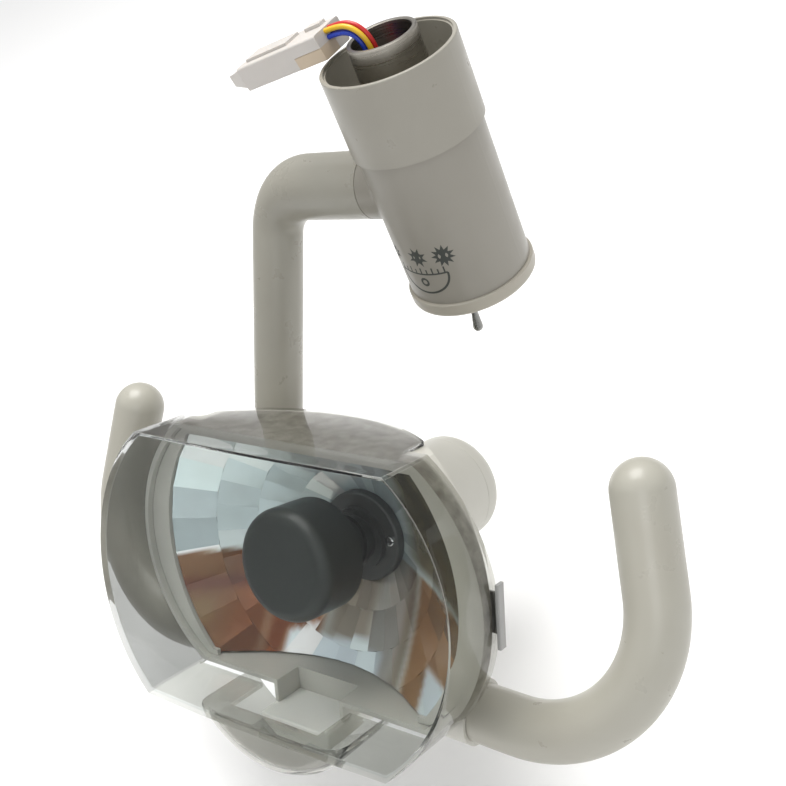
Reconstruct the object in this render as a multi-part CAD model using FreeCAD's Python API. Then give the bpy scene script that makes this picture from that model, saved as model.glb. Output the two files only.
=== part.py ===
import FreeCAD, Part
import math
import os

# Dental operating light: a swivelling joint housing, an L-shaped arm and a lamp head.
# Millimetres.  Part frame: +Z up along the swivel axis, +X to the right seen from the
# front, -Y towards the patient.  The origin is the centre of the steel tube's top mouth.
# The arm and the head are drawn in frames of their own and placed with arm() and head().

V = FreeCAD.Vector
X, Y, Z = V(1, 0, 0), V(0, 1, 0), V(0, 0, 1)
ORIGIN = V(0, 0, 0)

# ---- driving dimensions: joint housing, about the swivel axis ----
TUBE_R = 15.0              # steel tube, outside: 30 mm delivery-arm connection
TUBE_BORE_R = 13.0
TUBE_LENGTH = 51.0
SEAT_LENGTH = 26.0         # how far the delivery arm's sleeve goes over the tube
BODY_R = 28.0              # joint housing, outside
BODY_WALL = 2.0
BODY_TOP = -30.0
BODY_BOTTOM = -113.5
COLLAR_R = 29.6
COLLAR_TOP = -7.3
COLLAR_BOTTOM = -44.0
BUSH_TOP = -34.0
BUSH_LENGTH = 13.0
CAP_R = 29.4
CAP_HEIGHT = 7.0
RUN = 0.05                 # radial clearance of every running fit
GAP = 0.4                  # clearance between faces that pass each other

# ---- driving dimensions: tilt joint and arm ----
TILT_Z = -69.0             # height of the tilt axis
TILT_REST = 27.0           # the arm is stored swung forward by this many degrees
TILT_SHAFT_R = 8.0
TILT_FACE = -33.5          # face of the housing's side boss
ARM_R = 15.5               # horizontal part of the arm
LEG_R = 12.3               # lower part of the arm
ARM_WALL = 2.5
ELBOW_X = -93.0            # where the two centre lines meet
LEG_LEAN = 8.3             # the leg leans away from the housing by this many degrees
ELBOW_BEND = 24.0          # bend radius of the centre line
LOWER_BEND = 20.0

# ---- driving dimensions: head, its own frame with -Y along the light beam ----
HEAD_X, HEAD_Y, HEAD_Z = -44.9, -62.0, -164.5    # head frame's origin in the arm's frame
HEAD_ROLL = 1.5
NOD_Y = 62.0               # nod axis, parallel to the head's X
AXIS_Z = 2.0               # height of the nod and lamp axes in the head frame
NOD_SHAFT_R = 6.0
NOD_FACE = -31.5
HUB_R = 27.5
HUB_BACK = 110.5
HUB_CAP_LENGTH = 13.5
DISH_R = 118.0             # back of the head is part of a sphere
DISH_CENTRE_Y = -66.0
RIM_Y = 2.0                # where shield and rear housing meet
SHIELD_TOP, SHIELD_BOTTOM = 64.7, -61.0
SHIELD_HALF_CORNER = 70.0
SHIELD_HALF_MIDDLE = 100.5
SHIELD_WALL = 2.2
FRONT_TOP_Y, FRONT_BOTTOM_Y = -27.0, -38.5
FRONT_BULGE = 3.0
SHELL_WALL = 2.2
MIRROR_R = 84.0
MIRROR_WALL = 1.6
LAMP_TILT = 5.5            # the lamp stem is aimed up by this many degrees
GLARE_CAP_R = 26.0
HANDLE_R = 13.0
HANDLE_WALL = 2.5
HANDLE_FOOT = V(78.0, 18.0, -56.0)       # where the handle's centre line leaves the housing
HANDLE_LEAN = 11.0         # degrees, back towards the top
HANDLE_SLOPE = 2.0
HANDLE_RUN = 19.5
HANDLE_BEND = 56.0
HANDLE_INWARD = 12.5
HANDLE_TOP_Z = 51.8
HANDLE_SPIGOT_R = 10.4
HANDLE_SCREW_R = 3.0
HANDLE_SCREW_SEAT = 14.0


# ---------------------------------------------------------------- helpers
def cyl(radius, start, end):
    """Cylinder between two points."""
    axis = end - start
    return Part.makeCylinder(radius, axis.Length, start, axis)


def ring(outer, inner, start, end):
    return cyl(outer, start, end).cut(cyl(inner, start, end))


def block(x0, x1, y0, y1, z0, z1):
    return Part.makeBox(x1 - x0, y1 - y0, z1 - z0, V(x0, y0, z0))


def fuse(first, *others):
    shape = first
    for other in others:
        shape = shape.fuse(other)
    return shape.removeSplitter()


def hexagon(across_flats, start, end):
    """Hexagonal prism along X."""
    radius = across_flats / math.sqrt(3)
    corners = [
        V(start, radius * math.cos(math.radians(60 * i)), radius * math.sin(math.radians(60 * i)))
        for i in range(7)
    ]
    return Part.Face(Part.makePolygon(corners)).extrude(V(end - start, 0, 0))


def turned(shape, angle, axis=Z, centre=ORIGIN):
    copy = shape.copy()
    copy.rotate(centre, axis, angle)
    return copy


def moved(shape, offset):
    copy = shape.copy()
    copy.translate(offset)
    return copy


def fillet(shape, radius, test):
    """Rounds the edges whose bounding box passes the test."""
    edges = [e for e in shape.Edges if test(e.BoundBox)]
    return shape.makeFillet(radius, edges)


def path(points, radii):
    """Wire of straight runs joined by tangent arcs, one radius for each inner point."""
    edges = []
    start = points[0]
    for before, corner, after, radius in zip(points, points[1:], points[2:], radii):
        towards = (before - corner).normalize()
        away = (after - corner).normalize()
        half_turn = (math.pi - towards.getAngle(away)) / 2
        trim = radius * math.tan(half_turn)
        first = corner + towards * trim
        last = corner + away * trim
        bisector = (towards + away).normalize()
        middle = corner + bisector * (radius / math.cos(half_turn) - radius)
        if (first - start).Length > 0.001:
            edges.append(Part.LineSegment(start, first).toShape())
        edges.append(Part.Arc(first, middle, last).toShape())
        start = last
    edges.append(Part.LineSegment(start, points[-1]).toShape())
    return Part.Wire(edges)


def rod(wire, radius):
    """Solid of a round section carried along a wire."""
    first = wire.Edges[0]
    direction = first.tangentAt(first.FirstParameter)
    circle = Part.Circle(first.valueAt(first.FirstParameter), direction, radius)
    return wire.makePipeShell([Part.Wire(circle.toShape())], True, False)


def free_radii(points):
    """Largest arcs that the runs of a free cord allow."""
    radii = []
    for before, corner, after in zip(points, points[1:], points[2:]):
        shorter = min((corner - before).Length, (after - corner).Length)
        turn = (corner - before).getAngle(after - corner)
        radii.append(0.45 * shorter / math.tan(turn / 2))
    return radii


def arm(shape):
    """From the arm's frame, origin on the tilt axis, to the part frame."""
    placed = turned(shape, -TILT_REST, X)
    return moved(placed, V(0, 0, TILT_Z))


def head(shape):
    """From the head's frame to the part frame."""
    placed = turned(shape, HEAD_ROLL, Y)
    return arm(moved(placed, V(HEAD_X, HEAD_Y, HEAD_Z)))


# ---------------------------------------------------------------- steel tube, fixed to the arm
STOP_Z = -31.0
CIRCLIP_Z = BUSH_TOP - BUSH_LENGTH - 1.0
CIRCLIP_GROOVE_R = 14.2


def steel_tube():
    tube = ring(TUBE_R, TUBE_BORE_R, V(0, 0, -TUBE_LENGTH), ORIGIN)
    groove = ring(TUBE_R + 1, CIRCLIP_GROOVE_R, V(0, 0, CIRCLIP_Z - 1.2), V(0, 0, CIRCLIP_Z))
    undercut = ring(TUBE_R + 1, TUBE_R - 0.4, V(0, 0, -SEAT_LENGTH - 1.6), V(0, 0, -SEAT_LENGTH))
    hole = cyl(1.5, V(0, 0, STOP_Z), V(0, TUBE_R + 5, STOP_Z))
    tube = tube.cut(groove).cut(undercut).cut(hole)
    return tube.makeChamfer(0.4, [e for e in tube.Edges if e.BoundBox.ZMin > -0.01])


def swivel_stop_pin():
    return cyl(1.5, V(0, TUBE_BORE_R + 0.3, STOP_Z), V(0, 19.6, STOP_Z))


def swivel_washer():
    return ring(19.0, TUBE_R + 0.1, V(0, 0, CIRCLIP_Z), V(0, 0, BUSH_TOP - BUSH_LENGTH))


def swivel_circlip():
    clip = ring(17.5, CIRCLIP_GROOVE_R, V(0, 0, CIRCLIP_Z - 1.2), V(0, 0, CIRCLIP_Z))
    return clip.cut(block(-2.5, 2.5, 10, 20, CIRCLIP_Z - 2, CIRCLIP_Z + 1))


def cable_grommet():
    """Rubber grommet in the tube that the four leads come out of."""
    return cyl(TUBE_BORE_R, V(0, 0, LEADS_START_Z - 8), V(0, 0, LEADS_START_Z))


# ---------------------------------------------------------------- free leads and their connector
LEAD_R = 1.1
LEADS_START_Z = -18.0
CONNECTOR_SLOPE = 11.5
CONNECTOR_END = -50.0          # of the white half, along the connector
BOOT_LENGTH = 10.0
PLUG_END = -16.0
PLUG_SIDE = 1.5               # the beige half fills the near corner of the face
PLUG_TOP = -2.4
CONNECTOR_HALF = 9.0
CONNECTOR_DEPTH = 7.9         # of the white half, below the leads' level
CONNECTOR_TOP = 3.0
CONNECTOR_FACE = V(-23.25, -2.0, 4.5)   # where the middle of the bundle enters the white half
SLOPE = math.radians(CONNECTOR_SLOPE)
CONNECTOR_WAY = V(-math.cos(SLOPE), 0, -math.sin(SLOPE))
LEADS_ROUTE = [               # middle of the bundle, out of the tube and over its rim
    V(-5.5, CONNECTOR_FACE.y, LEADS_START_Z),
    V(-5.5, CONNECTOR_FACE.y, -9.8),
    V(-5.8, CONNECTOR_FACE.y, -2.7),
    V(-7.8, CONNECTOR_FACE.y, 2.1),
    V(-12.06, CONNECTOR_FACE.y, 5.3),
    CONNECTOR_FACE - CONNECTOR_WAY * 5.3,
    CONNECTOR_FACE,
]
LEAD_OFFSETS = {              # each lead's place in the bundle: across Y, and outwards in the bend
    "lead_red": (1.4, 1.35),
    "lead_yellow": (-1.4, 1.35),
    "lead_blue": (-1.4, -1.35),
    "lead_dark_blue": (1.4, -1.35),
}


def lead_points(across, outwards):
    """Route of one lead, kept parallel to the middle of the bundle."""
    runs = [(after - before).normalize() for before, after in zip(LEADS_ROUTE, LEADS_ROUTE[1:])]
    points = []
    for i, middle in enumerate(LEADS_ROUTE):
        before = runs[max(i - 1, 0)]
        after = runs[min(i, len(runs) - 1)]
        along = (before + after).normalize()
        half_turn = before.getAngle(after) / 2
        normal = V(along.z, 0, -along.x) * (1 / math.cos(half_turn))
        points.append(middle + Y * across + normal * outwards)
    return points


LEADS = {name: lead_points(*offset) for name, offset in LEAD_OFFSETS.items()}


def placed_connector(shape):
    """The connector is drawn along -X from its lead end, then laid on the collar's rim."""
    laid = turned(shape, -CONNECTOR_SLOPE, Y)
    return moved(laid, CONNECTOR_FACE)


def connector_plug():
    """Beige half of the connector, let into the near lower corner of the white half."""
    body = block(PLUG_END, 0, -CONNECTOR_HALF, PLUG_SIDE, -CONNECTOR_DEPTH, PLUG_TOP)
    rounded = fillet(body, 0.6, lambda b: b.XLength > 10)
    return placed_connector(rounded)


def connector_housing():
    """White half, which takes the leads' crimps and goes to the delivery arm's cable."""
    half = CONNECTOR_HALF
    body = block(CONNECTOR_END, 0, -half, half, -CONNECTOR_DEPTH, CONNECTOR_TOP)
    body = fillet(body, 1.0, lambda b: b.XLength > 20)
    rib = block(CONNECTOR_END + 4, PLUG_END - 4, -5.0, 5.0, CONNECTOR_TOP - 1, CONNECTOR_TOP + 1.2)
    latch = block(-14, -5, 2.5, 7.0, CONNECTOR_TOP - 1, CONNECTOR_TOP + 1.4)
    body = fuse(body, rib, latch)
    hollow = block(PLUG_END, 1, -half - 1, PLUG_SIDE, -CONNECTOR_DEPTH - 2, PLUG_TOP)
    return placed_connector(body.cut(hollow))


def boot_section(x, half, low, high):
    corners = [V(x, -half, low), V(x, half, low), V(x, half, high), V(x, -half, high)]
    return Part.makePolygon(corners + corners[:1])


def connector_boot():
    """Soft tapering end of the white half."""
    wide = boot_section(CONNECTOR_END, CONNECTOR_HALF - 1, -CONNECTOR_DEPTH + 1, CONNECTOR_TOP - 1)
    slim = boot_section(CONNECTOR_END - BOOT_LENGTH, 5.5, -4.5, 0.5)
    return placed_connector(Part.makeLoft([wide, slim], True, True))


# ---------------------------------------------------------------- joint housing
BOSS_BLEND = 4.0
BOSS_INNER_X = -14.0
TILT_BUSH_R = 10.0
STOP_GROOVE_R = 12.5
STOP_PIN_R = 1.3
STOP_PIN_SEAT = 4.0        # how deep the stop pin sits in the arm
TILT_RANGE = (-35.0, 85.0)
STOP_AT = 90.0             # rest angle of the arm's stop pin about the tilt axis
STOP_MARGIN = 9.0
LEVER_X, LEVER_Y = 7.0, -16.0
LEVER_THROW = 10.0
LEVER_LENGTH = 12.6
LEVER_BALL_R = 2.1
LEVER_NECK_R = 0.9
LEVER_TIP_R = 2.3
SWITCH_NECK_R = 3.1
SWITCH_BORE_R = 2.5
SWITCH_NECK_END = 4.0
CAP_BOTTOM = BODY_BOTTOM - CAP_HEIGHT
LEVER_PIVOT = V(LEVER_X, LEVER_Y, CAP_BOTTOM - 0.4)


def joint_housing():
    outer = cyl(BODY_R, V(0, 0, BODY_BOTTOM), V(0, 0, BODY_TOP))
    inner = cyl(BODY_R - BODY_WALL, V(0, 0, BODY_BOTTOM), V(0, 0, BODY_TOP))
    boss = cyl(ARM_R, V(TILT_FACE, 0, TILT_Z), V(BOSS_INNER_X, 0, TILT_Z))
    inner_boss = cyl(ARM_R - 1.5, V(-BODY_R + BODY_WALL, 0, TILT_Z), V(BOSS_INNER_X, 0, TILT_Z))
    solid = fuse(outer, boss)
    solid = fillet(solid, BOSS_BLEND, lambda b: b.XMin > -BODY_R - 0.5 and b.XMax < BOSS_INNER_X)
    solid = fuse(solid.cut(inner), inner_boss)
    solid = solid.cut(cyl(TILT_BUSH_R, V(TILT_FACE - 1, 0, TILT_Z), V(0, 0, TILT_Z)))
    return solid.cut(stop_groove())


def stop_groove():
    """Arc-shaped groove in the boss face that the arm's stop pin runs in."""
    inner, outer = STOP_GROOVE_R - STOP_PIN_R - GAP, STOP_GROOVE_R + STOP_PIN_R + GAP
    low = STOP_AT - TILT_REST + TILT_RANGE[0] - STOP_MARGIN
    sweep = TILT_RANGE[1] - TILT_RANGE[0] + 2 * STOP_MARGIN
    wide = Part.makeCylinder(outer, 2.6, V(0, 0, 0), Z, sweep)
    narrow = Part.makeCylinder(inner, 2.6, V(0, 0, 0), Z)
    groove = turned(wide.cut(narrow), 90, Y)
    groove = turned(groove, low + 90, X)
    return moved(groove, V(TILT_FACE - 0.1, 0, TILT_Z))


def swivel_bush():
    bush = ring(BODY_R - BODY_WALL, TUBE_R + RUN, V(0, 0, BUSH_TOP - BUSH_LENGTH), V(0, 0, BUSH_TOP))
    lug = Part.makeCylinder(20.0, 4.6, V(0, 0, BUSH_TOP - 0.1), Z, 20)
    lug = lug.cut(Part.makeCylinder(17.3, 6, V(0, 0, BUSH_TOP - 0.5), Z))
    return fuse(bush, turned(lug, -100))


def joint_collar():
    collar = ring(COLLAR_R, BODY_R, V(0, 0, COLLAR_BOTTOM), V(0, 0, COLLAR_TOP))
    lip = ring(COLLAR_R - 0.5, BODY_R - 0.8, V(0, 0, BODY_TOP), V(0, 0, COLLAR_TOP - 1.0))
    collar = fuse(collar, lip)
    return fillet(collar, 0.6, lambda b: b.ZMin > COLLAR_TOP - 0.01 and b.XLength > 2 * COLLAR_R - 1)


def bottom_cap():
    flange = cyl(CAP_R, V(0, 0, CAP_BOTTOM), V(0, 0, BODY_BOTTOM))
    flange = fillet(flange, 2.5, lambda b: b.ZMax < CAP_BOTTOM + 0.1)
    flange = fillet(flange, 0.8, lambda b: b.ZMin > BODY_BOTTOM - 0.1 and b.ZLength < 0.1)
    spigot_r = BODY_R - BODY_WALL - RUN
    spigot = ring(spigot_r, spigot_r - 2.5, V(0, 0, BODY_BOTTOM - 1), V(0, 0, BODY_BOTTOM + 5))
    hollow = cyl(spigot_r - 2.5, V(0, 0, CAP_BOTTOM + 3), V(0, 0, BODY_BOTTOM + 6))
    neck = cyl(SWITCH_NECK_R, V(LEVER_X, LEVER_Y, CAP_BOTTOM - 1), V(LEVER_X, LEVER_Y, CAP_BOTTOM + 5))
    cap = fuse(flange, spigot).cut(hollow).cut(neck)
    for x, y in CAP_SCREWS:
        cap = cap.cut(cyl(1.5, V(x, y, CAP_BOTTOM - 1), V(x, y, CAP_BOTTOM + 5)))
        cap = cap.cut(cyl(3.0, V(x, y, CAP_BOTTOM - 1), V(x, y, CAP_BOTTOM + 1.3)))
    return cap


CAP_SCREWS = ((-16.0, 6.0), (14.0, 12.0))


def cap_screws():
    screws = []
    for x, y in CAP_SCREWS:
        head_part = cyl(2.9, V(x, y, CAP_BOTTOM + 0.1), V(x, y, CAP_BOTTOM + 1.3))
        shank = cyl(1.5, V(x, y, CAP_BOTTOM + 1.3), V(x, y, CAP_BOTTOM + 9))
        slot = block(x - 2.2, x + 2.2, y - 0.35, y + 0.35, CAP_BOTTOM, CAP_BOTTOM + 0.7)
        screws.append(fuse(head_part, shank).cut(slot))
    return Part.makeCompound(screws)


def dimmer_board():
    """Circuit board with its rectifier, capacitor and terminals, upright in the housing."""
    base = CAP_BOTTOM + 13
    board = block(-19, 19, 8, 9.6, base, base + 22)
    capacitor = cyl(5, V(-9, 8, base + 11), V(-9, -2, base + 11))
    heatsink = block(2, 16, 3, 8, base + 2, base + 12)
    terminals = block(-2, 16, 9.6, 16, base + 14, base + 21)
    foot = block(-15, -11, 8, 9.6, CAP_BOTTOM + 3, base)
    return fuse(board, capacitor, heatsink, terminals, foot, moved(foot, V(22, 0, 0)))


def switch_body():
    base, end = CAP_BOTTOM + 3, CAP_BOTTOM - SWITCH_NECK_END
    case = block(LEVER_X - 5.8, LEVER_X + 5.8, LEVER_Y - 3.4, LEVER_Y + 3.4, base, base + 9)
    neck = cyl(SWITCH_NECK_R, V(LEVER_X, LEVER_Y, end), V(LEVER_X, LEVER_Y, base + 0.2))
    bore = cyl(SWITCH_BORE_R, V(LEVER_X, LEVER_Y, end - 1), LEVER_PIVOT)
    cup = Part.makeSphere(SWITCH_BORE_R, LEVER_PIVOT)
    pins = [
        block(x - 0.6, x + 0.6, LEVER_Y - 0.4, LEVER_Y + 0.4, CAP_BOTTOM + 11, CAP_BOTTOM + 16)
        for x in (LEVER_X - 4, LEVER_X, LEVER_X + 4)
    ]
    return fuse(case, neck, *pins).cut(cup).cut(bore)


def switch_nut():
    nut = turned(hexagon(8.6, 0, 2.0), 90, Y)
    nut = moved(nut, V(LEVER_X, LEVER_Y, CAP_BOTTOM))
    low, high = CAP_BOTTOM - 5, CAP_BOTTOM + 5
    return nut.cut(cyl(SWITCH_NECK_R, V(LEVER_X, LEVER_Y, low), V(LEVER_X, LEVER_Y, high)))


def toggle_lever():
    """Bat-shaped lever, stored thrown to the front."""
    ball = Part.makeSphere(LEVER_BALL_R, LEVER_PIVOT)
    stem = Part.makeCone(LEVER_NECK_R, LEVER_TIP_R, LEVER_LENGTH, LEVER_PIVOT, V(0, 0, -1))
    tip = Part.makeSphere(LEVER_TIP_R, LEVER_PIVOT - Z * LEVER_LENGTH)
    return turned(fuse(ball, stem, tip), -LEVER_THROW, X, LEVER_PIVOT)


# ---------------------------------------------------------------- tilt joint (arm frame, axis X)
def on_x(radius, x0, x1, y=0.0, z=0.0):
    return cyl(radius, V(x0, y, z), V(x1, y, z))


def washer(outer, inner, x0, x1, y=0.0, z=0.0):
    return on_x(outer, x0, x1, y, z).cut(on_x(inner, x0, x1, y, z))


def wave_washer(outer, inner, x0, x1, y=0.0, z=0.0):
    """Spring washer, drawn pressed almost flat, as a shallow cone."""
    disc = Part.makeCone(outer - 1.0, outer, x1 - x0, V(x0, y, z), X)
    return disc.cut(on_x(inner, x0 - 1, x1 + 1, y, z))


def tilt_bush():
    sleeve = washer(TILT_BUSH_R, TILT_SHAFT_R + RUN, TILT_FACE, BOSS_INNER_X)
    return moved(sleeve, V(0, 0, TILT_Z))


def tilt_shaft():
    shaft = on_x(TILT_SHAFT_R, -62, -1).cut(on_x(5.0, -63, 0))
    return arm(shaft)


def at_stop(shape):
    """From the tilt axis out to the arm's stop pin."""
    angle = math.radians(STOP_AT)
    return moved(shape, V(0, STOP_GROOVE_R * math.cos(angle), STOP_GROOVE_R * math.sin(angle)))


def tilt_washers():
    """Nylon washer outside, fibre and steel washers inside."""
    outside = washer(ARM_R - 0.3, TILT_SHAFT_R + 0.1, ARM_END, TILT_FACE)
    outside = outside.cut(at_stop(on_x(STOP_PIN_R, ARM_END - 1, TILT_FACE + 1)))
    fibre = washer(12.6, TILT_SHAFT_R + 0.1, BOSS_INNER_X, BOSS_INNER_X + 1.5)
    steel = washer(12.0, TILT_SHAFT_R + 0.1, BOSS_INNER_X + 1.5, BOSS_INNER_X + 2.7)
    return arm(Part.makeCompound([outside, fibre, steel]))


def tilt_spring_washer():
    return arm(wave_washer(12.0, TILT_SHAFT_R + 0.1, BOSS_INNER_X + 2.7, BOSS_INNER_X + 4.7))


def tilt_nut():
    nut = hexagon(21.0, BOSS_INNER_X + 4.7, BOSS_INNER_X + 11.0)
    return arm(nut.cut(on_x(TILT_SHAFT_R, -30, 10)))


def tilt_stop_pin():
    return arm(at_stop(on_x(STOP_PIN_R, ARM_END - STOP_PIN_SEAT, TILT_FACE + 2.0)))


# ---------------------------------------------------------------- arm (arm frame, in the plane Y = 0)
ARM_END = TILT_FACE - 0.6
NOD_ORIGIN = V(
    HEAD_X + AXIS_Z * math.sin(math.radians(HEAD_ROLL)),
    0,
    HEAD_Z + AXIS_Z * math.cos(math.radians(HEAD_ROLL)),
)
NOD_AXIS = V(math.cos(math.radians(HEAD_ROLL)), 0, -math.sin(math.radians(HEAD_ROLL)))
ELBOW = V(ELBOW_X, 0, 0)
LEG_DIRECTION = V(-math.sin(math.radians(LEG_LEAN)), 0, -math.cos(math.radians(LEG_LEAN)))


def lower_corner():
    """Where the leg's centre line meets the nod axis."""
    slope = LEG_DIRECTION.x / LEG_DIRECTION.z
    rise = NOD_AXIS.z / NOD_AXIS.x
    z = (NOD_ORIGIN.z + rise * (ELBOW_X - NOD_ORIGIN.x)) / (1 - rise * slope)
    return V(ELBOW_X + slope * z, 0, z)


LOWER_CORNER = lower_corner()
ARM_LOWER_END = NOD_ORIGIN + NOD_AXIS * (NOD_FACE - 1.0)


def elbow_sections(extra):
    """Circles around the elbow, shrinking from the horizontal part's size to the leg's."""
    turn = math.radians(90 - LEG_LEAN)
    trim = ELBOW_BEND * math.tan(turn / 2)
    centre = V(ELBOW_X + trim, 0, -ELBOW_BEND)
    steps = 6
    wires = []
    for i in range(steps + 1):
        angle = turn * i / steps
        share = (1 - math.cos(math.pi * i / steps)) / 2
        radius = ARM_R + (LEG_R - ARM_R) * share - extra
        place = centre + V(-math.sin(angle), 0, math.cos(angle)) * ELBOW_BEND
        direction = V(-math.cos(angle), 0, -math.sin(angle))
        wires.append(Part.Wire(Part.Circle(place, direction, radius).toShape()))
    return wires, V(ELBOW_X + trim, 0, 0), ELBOW + LEG_DIRECTION * trim


def arm_solid(extra):
    """The arm's outline, or with extra its hollow."""
    sections, top_end, leg_start = elbow_sections(extra)
    elbow = Part.makeLoft(sections, True, False)
    top = cyl(ARM_R - extra, top_end, V(ARM_END, 0, 0))
    leg = rod(path([leg_start, LOWER_CORNER, ARM_LOWER_END], [LOWER_BEND]), LEG_R - extra)
    return top.fuse(elbow).fuse(leg)


def arm_tube():
    shape = arm_solid(0).cut(arm_solid(ARM_WALL))
    plug = on_x(ARM_R - 0.5, ARM_END - 24, ARM_END)
    low_plug = cyl(LEG_R - 0.5, ARM_LOWER_END - NOD_AXIS * 16, ARM_LOWER_END)
    collar = cyl(13.8, ARM_LOWER_END - NOD_AXIS * 5, ARM_LOWER_END)
    shape = shape.fuse(plug).fuse(low_plug).fuse(collar)
    shape = shape.cut(on_x(TILT_SHAFT_R, -70, 0))
    shape = shape.cut(cyl(NOD_SHAFT_R, ARM_LOWER_END - NOD_AXIS * 20, ARM_LOWER_END + NOD_AXIS))
    pin_hole = at_stop(on_x(STOP_PIN_R, ARM_END - STOP_PIN_SEAT, ARM_END + 1))
    return arm(shape.cut(pin_hole).removeSplitter())


def arm_cable():
    """Lamp cable inside the arm, from shaft to shaft."""
    start = V(-4, 0, 0)
    end = NOD_ORIGIN - NOD_AXIS * 4
    return arm(rod(path([start, ELBOW, LOWER_CORNER, end], [ELBOW_BEND, LOWER_BEND]), 2.6))


# ---------------------------------------------------------------- nod joint (head frame, axis X)
NOD_BUSH_R = 8.5
NOD_INNER_X = -13.0


def nod_x(radius, x0, x1):
    return on_x(radius, x0, x1, NOD_Y, AXIS_Z)


def nod_bush():
    return head(nod_x(NOD_BUSH_R, NOD_FACE, NOD_INNER_X).cut(nod_x(NOD_SHAFT_R + RUN, -40, 0)))


def nod_shaft():
    return head(nod_x(NOD_SHAFT_R, -48, 1).cut(nod_x(3.8, -50, 2)))


def nod_washers():
    outside = washer(13.2, NOD_SHAFT_R + 0.1, NOD_FACE - 1.0, NOD_FACE, NOD_Y, AXIS_Z)
    fibre = washer(9.5, NOD_SHAFT_R + 0.1, NOD_INNER_X, NOD_INNER_X + 1.5, NOD_Y, AXIS_Z)
    steel = washer(9.2, NOD_SHAFT_R + 0.1, NOD_INNER_X + 1.5, NOD_INNER_X + 2.7, NOD_Y, AXIS_Z)
    return head(Part.makeCompound([outside, fibre, steel]))


def nod_spring_washer():
    return head(wave_washer(9.2, NOD_SHAFT_R + 0.1, NOD_INNER_X + 2.7, NOD_INNER_X + 4.7, NOD_Y, AXIS_Z))


def nod_nut():
    nut = moved(hexagon(15.0, NOD_INNER_X + 4.7, NOD_INNER_X + 10.5), V(0, NOD_Y, AXIS_Z))
    return head(nut.cut(nod_x(NOD_SHAFT_R, -30, 10)))


# ---------------------------------------------------------------- head: hub
HUB_WALL = 3.0


def on_y(radius, y0, y1, x=0.0, z=AXIS_Z):
    return cyl(radius, V(x, y0, z), V(x, y1, z))


def dish(radius):
    return Part.makeSphere(radius, V(0, DISH_CENTRE_Y, AXIS_Z), Z, -90, 90, 360)


def rear_hub():
    hub = on_y(HUB_R, 40, HUB_BACK).cut(on_y(HUB_R - HUB_WALL, 30, HUB_BACK + 1))
    outer_boss = nod_x(16.5, NOD_FACE, HUB_WALL - HUB_R).cut(on_y(HUB_R - HUB_WALL, 30, HUB_BACK + 1))
    inner_boss = nod_x(NOD_BUSH_R + 2.5, HUB_WALL - HUB_R - 3, NOD_INNER_X)
    hub = fuse(hub, outer_boss, inner_boss).cut(nod_x(NOD_BUSH_R, -40, 0))
    return head(hub.cut(dish(DISH_R)))


def hub_cap():
    cap = on_y(HUB_R, HUB_BACK, HUB_BACK + HUB_CAP_LENGTH)
    cap = fillet(cap, 8.0, lambda b: b.YMin > HUB_BACK + 1)
    cap = fillet(cap, 0.6, lambda b: b.YMax < HUB_BACK + 0.1)
    spigot = on_y(HUB_R - HUB_WALL, HUB_BACK - 5, HUB_BACK + 1)
    cap = fuse(cap, spigot)
    return head(cap.cut(on_y(HUB_R - HUB_WALL - 2.5, HUB_BACK - 6, HUB_BACK + 7)))


TERMINAL_X = (0.0, 10.0)
LAMP_LEAD_R = 1.3


def terminal_block():
    body = block(-4, 14, 88, 98, AXIS_Z - 6, AXIS_Z + 6)
    for x in TERMINAL_X:
        body = body.cut(cyl(1.6, V(x, 95, AXIS_Z), V(x, 95, AXIS_Z + 7)))
        body = body.cut(on_y(LAMP_LEAD_R, 87, 93, x))
    base = block(1, 9, 91, 95, AXIS_Z - HUB_R, AXIS_Z - 6).common(on_y(HUB_R - HUB_WALL, 80, 100))
    return head(fuse(body, base))


def lamp_leads():
    """Two heat-proof leads from the lamp socket to the terminal block."""
    routes = (
        [V(4, 48, AXIS_Z + 3), V(10, 62, AXIS_Z + 3), V(10, 78, AXIS_Z), V(10, 93, AXIS_Z)],
        [V(4, 48, AXIS_Z - 3), V(3.6, 62, AXIS_Z - 3), V(0, 78, AXIS_Z), V(0, 93, AXIS_Z)],
    )
    leads = [rod(path(points, [14.0, 14.0]), LAMP_LEAD_R) for points in routes]
    return head(Part.makeCompound(leads))


# ---------------------------------------------------------------- head: shells
def barrel(inset, y0, y1):
    """Prism along Y with the head's outline: flat top and bottom, bowed sides."""
    top, bottom = SHIELD_TOP - inset, SHIELD_BOTTOM + inset
    corner, middle = SHIELD_HALF_CORNER - inset * 0.9, SHIELD_HALF_MIDDLE - inset
    centre = (top + bottom) / 2
    outline = Part.Wire([
        Part.LineSegment(V(-corner, y0, top), V(corner, y0, top)).toShape(),
        Part.Arc(V(corner, y0, top), V(middle, y0, centre), V(corner, y0, bottom)).toShape(),
        Part.LineSegment(V(corner, y0, bottom), V(-corner, y0, bottom)).toShape(),
        Part.Arc(V(-corner, y0, bottom), V(-middle, y0, centre), V(-corner, y0, top)).toShape(),
    ])
    return Part.Face(outline).extrude(V(0, y1 - y0, 0))


SHELL_INSET = SHIELD_WALL + GAP
SHELL_FRONT = -6.0
SOCKET_R = 14.8


def handle_way():
    """Direction in which the handle leaves the housing."""
    slope = math.radians(HANDLE_SLOPE)
    return V(math.cos(slope), 0, -math.sin(slope))


def beside(shape, side):
    """Leans a piece of the right handle back, and mirrors it for the left one."""
    leaned = turned(shape, -HANDLE_LEAN, X, HANDLE_FOOT)
    return leaned.mirror(ORIGIN, X) if side < 0 else leaned


def handle_socket(side, radius, start, end):
    way = handle_way()
    return beside(cyl(radius, HANDLE_FOOT + way * start, HANDLE_FOOT + way * end), side)


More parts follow.
